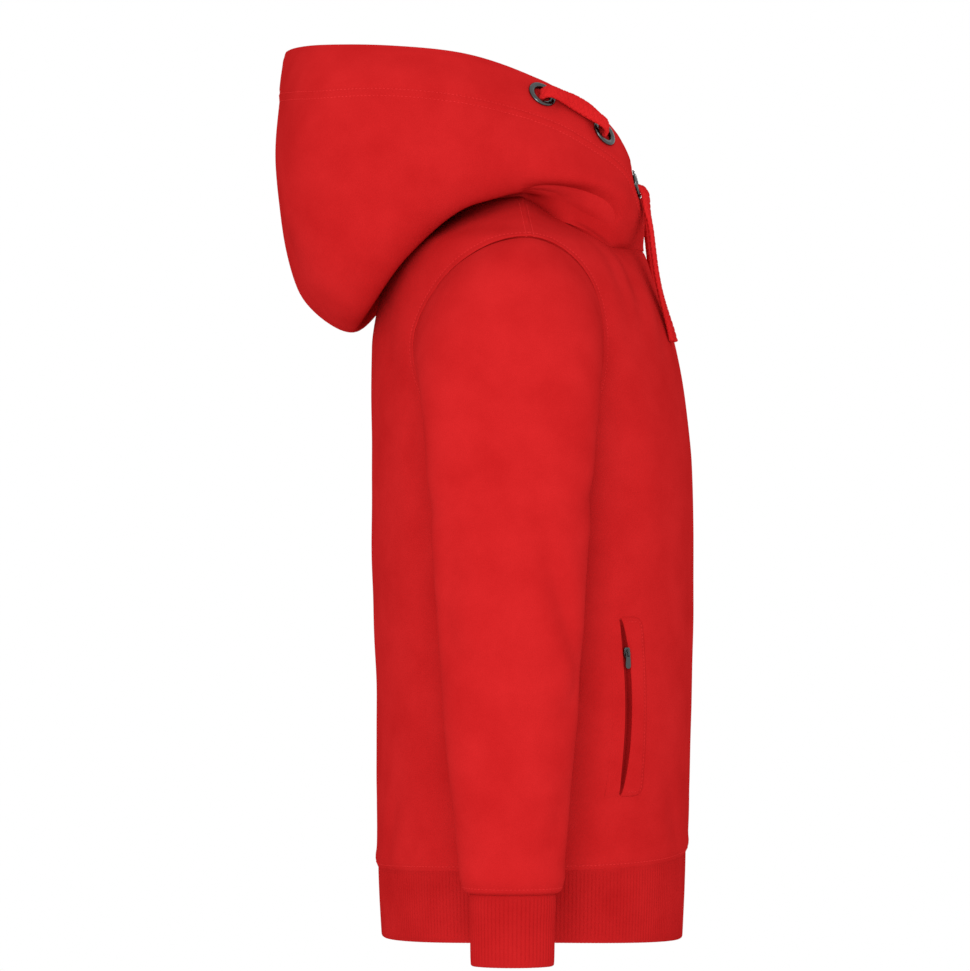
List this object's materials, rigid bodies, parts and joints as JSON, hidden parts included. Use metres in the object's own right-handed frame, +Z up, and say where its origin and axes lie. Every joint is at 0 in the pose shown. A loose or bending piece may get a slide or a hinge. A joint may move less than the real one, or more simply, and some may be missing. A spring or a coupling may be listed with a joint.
{
  "type": "kids hoodie",
  "caption": "Child's plain pullover hoodie in its worn, hollow shape, with the hood down, a flat drawcord through metal eyelets, ribbed cuffs and hem, and zipped side pockets.",
  "frame": {"origin": "middle of the line between the two points where neck and shoulder meet", "axes": "+Z up, front towards -Y, the wearer's left towards +X"},
  "size_m": [0.496, 0.3159, 0.6676],
  "materials": {
    "fleece": "matt brushed sweatshirt jersey",
    "rib": "matt rib knit",
    "cord": "flat braid",
    "zip_tape": "woven tape with small coil teeth",
    "metal": "polished gunmetal"
  },
  "bodies": {
    "garment": {"front": "fleece", "back": "fleece", "hem_rib": "rib", "sleeve_left": "fleece", "sleeve_right": "fleece", "cuff_left": "rib", "cuff_right": "rib", "hood_left": "fleece", "hood_right": "fleece", "eyelet_left_1": "metal", "eyelet_left_2": "metal", "eyelet_left_3": "metal", "eyelet_right_1": "metal", "eyelet_right_2": "metal", "eyelet_right_3": "metal", "cord_lace_left": "cord", "cord_lace_right": "cord", "cord_end_left": "cord", "cord_end_right": "cord", "pocket_welt_left": "fleece", "pocket_welt_right": "fleece", "zip_strip_left": "zip_tape", "zip_strip_right": "zip_tape", "zip_slider_left": "metal", "zip_slider_right": "metal"},
    "pull_left": {"zip_pull_left": "metal"},
    "pull_right": {"zip_pull_right": "metal"}
  },
  "joints": [
    {"name": "left_zip_pull_swing", "type": "hinge", "parent": "garment", "child": "pull_left", "pos_m": [0.14572, -0.07664, -0.33646], "axis": [-0.5066, -0.8622, 0], "range_deg": [0, 140]},
    {"name": "right_zip_pull_swing", "type": "hinge", "parent": "garment", "child": "pull_right", "pos_m": [-0.14572, -0.07664, -0.33646], "axis": [-0.5066, 0.8622, 0], "range_deg": [0, 140]}
  ]
}
